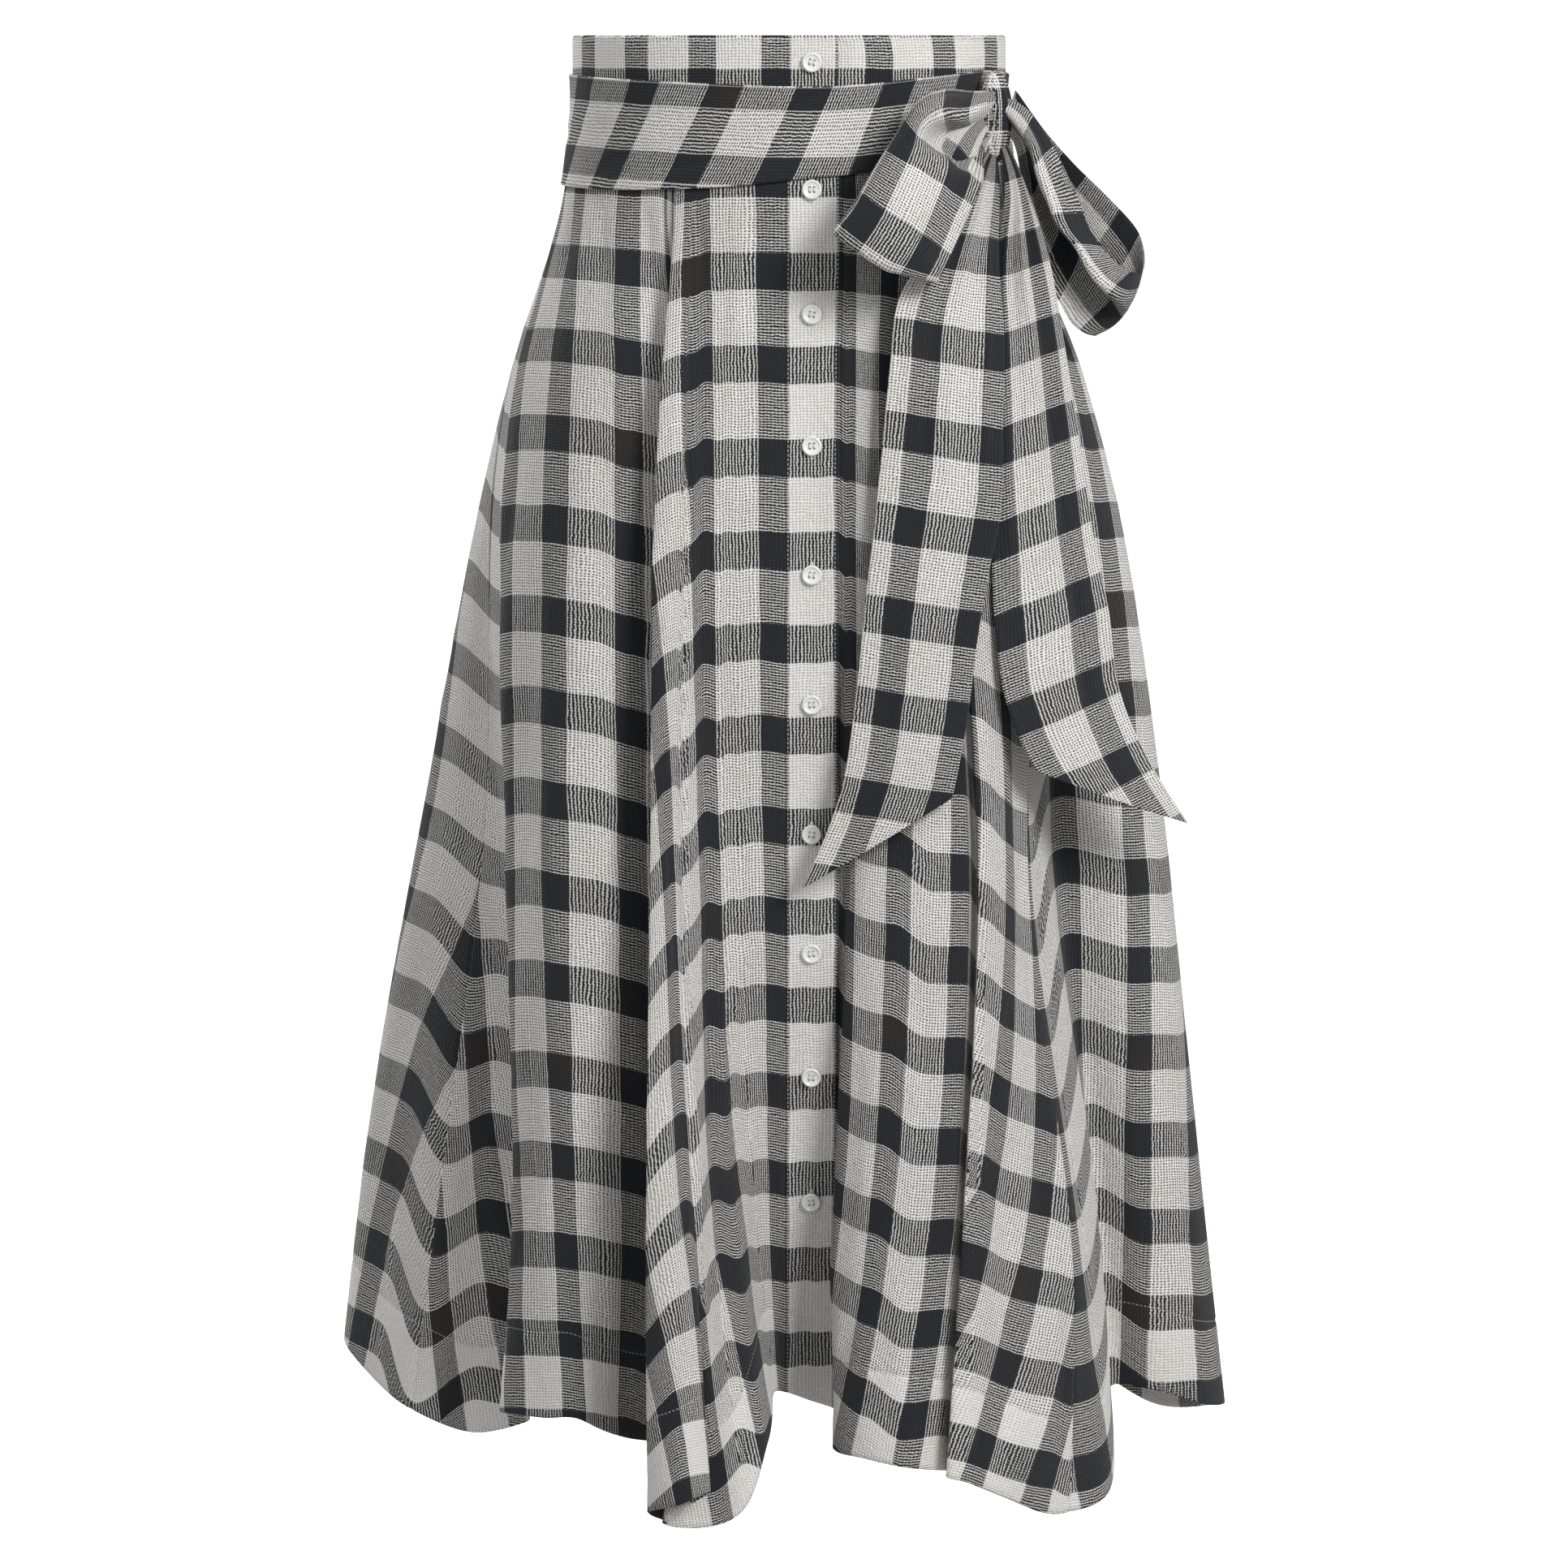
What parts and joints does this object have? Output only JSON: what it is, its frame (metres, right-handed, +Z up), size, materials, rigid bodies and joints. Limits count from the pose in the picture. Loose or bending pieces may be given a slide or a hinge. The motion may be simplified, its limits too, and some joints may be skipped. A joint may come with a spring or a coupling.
{
  "type": "beach skirt",
  "caption": "Worn, hollow A-line midi skirt of checked cotton gauze, buttoned down the front, with a waistband and a wide sash tied in a side bow.",
  "frame": {"origin": "centre of the waistband ring at half its height, where the wearer's waist holds the skirt up", "axes": "+Z up along the body, the skirt's length; the front with its buttons faces -Y; the wearer's left side, where the bow is tied, is towards +X"},
  "size_m": [0.547, 0.4053, 0.8684],
  "materials": {
    "gauze": "matte cotton gauze, black and ivory check",
    "sash_gauze": "matte cotton gauze, black and ivory check",
    "button": "pearly white"
  },
  "bodies": {
    "root": {"waistband": "gauze", "front_right_panel": "gauze", "front_left_panel": "gauze", "back_panel": "gauze", "button_band": "gauze", "sash": "sash_gauze", "bow_knot": "sash_gauze", "bow_loop_left": "sash_gauze", "bow_loop_right": "sash_gauze", "sash_tail_left": "sash_gauze", "sash_tail_right": "sash_gauze", "button_01": "button", "button_02": "button", "button_03": "button", "button_04": "button", "button_05": "button", "button_06": "button", "button_07": "button", "button_08": "button", "button_09": "button", "button_10": "button"}
  },
  "joints": []
}
